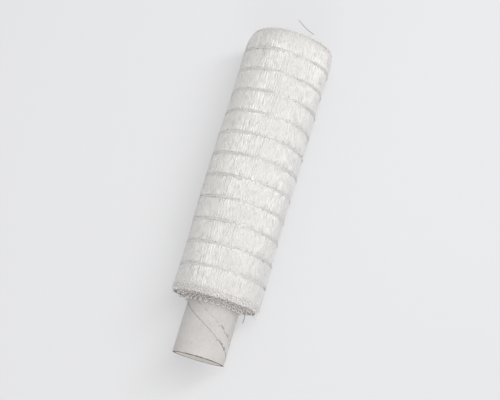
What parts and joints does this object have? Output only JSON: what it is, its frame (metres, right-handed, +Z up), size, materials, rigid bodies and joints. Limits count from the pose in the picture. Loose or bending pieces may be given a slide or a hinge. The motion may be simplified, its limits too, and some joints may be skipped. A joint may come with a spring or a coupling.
{
  "type": "tree guard netting roll",
  "caption": "Roll of knitted tree guard netting lying on its side, wound on a spiral paper core with one bare end as a handle.",
  "frame": {"origin": "on the floor, below the roll's axis, in the middle of the seventh inlay band's flat underside", "axes": "+Y along the roll's axis from the bare handle end of the core to the far end, +Z up, +X to the right when looking along +Y"},
  "size_m": [0.0983, 0.3887, 0.097],
  "materials": {
    "net": "satin",
    "net_chain": "satin",
    "net_inner": "satin",
    "core_paper": "matte",
    "core_board": "matte",
    "tape": "satin"
  },
  "bodies": {
    "roll": {"core_inner_ply": "core_board", "core_body_ply_1": "core_board", "core_body_ply_2": "core_board", "core_outer_ply": "core_paper", "start_tape": "tape", "net_wound_turns": "net_inner", "inlay_band_01": "net", "inlay_band_02": "net", "inlay_band_03": "net", "inlay_band_04": "net", "inlay_band_05": "net", "inlay_band_06": "net", "inlay_band_07": "net", "inlay_band_08": "net", "inlay_band_09": "net", "inlay_band_10": "net", "inlay_band_11": "net", "inlay_band_12": "net", "pillar_chain_01": "net_chain", "pillar_chain_02": "net_chain", "pillar_chain_03": "net_chain", "pillar_chain_04": "net_chain", "pillar_chain_05": "net_chain", "pillar_chain_06": "net_chain", "pillar_chain_07": "net_chain", "pillar_chain_08": "net_chain", "pillar_chain_09": "net_chain", "pillar_chain_10": "net_chain", "pillar_chain_11": "net_chain", "pillar_chain_12": "net_chain", "pillar_chain_13": "net_chain", "selvedge_loops_near": "net_chain", "selvedge_loops_far": "net_chain", "turn_edge_near_1": "net_chain", "turn_edge_near_2": "net_chain", "turn_edge_near_3": "net_chain", "turn_edge_far_1": "net_chain", "turn_edge_far_2": "net_chain", "turn_edge_far_3": "net_chain", "yarn_end_far": "net_chain", "yarn_end_near": "net_chain"},
    "tail": {"net_tail": "net"}
  },
  "joints": [
    {"name": "tail_peel", "type": "hinge", "parent": "roll", "child": "tail", "pos_m": [0.04895, 0.0127, 0.03937], "axis": [0, -1, 0], "range_deg": [0, 95]}
  ]
}
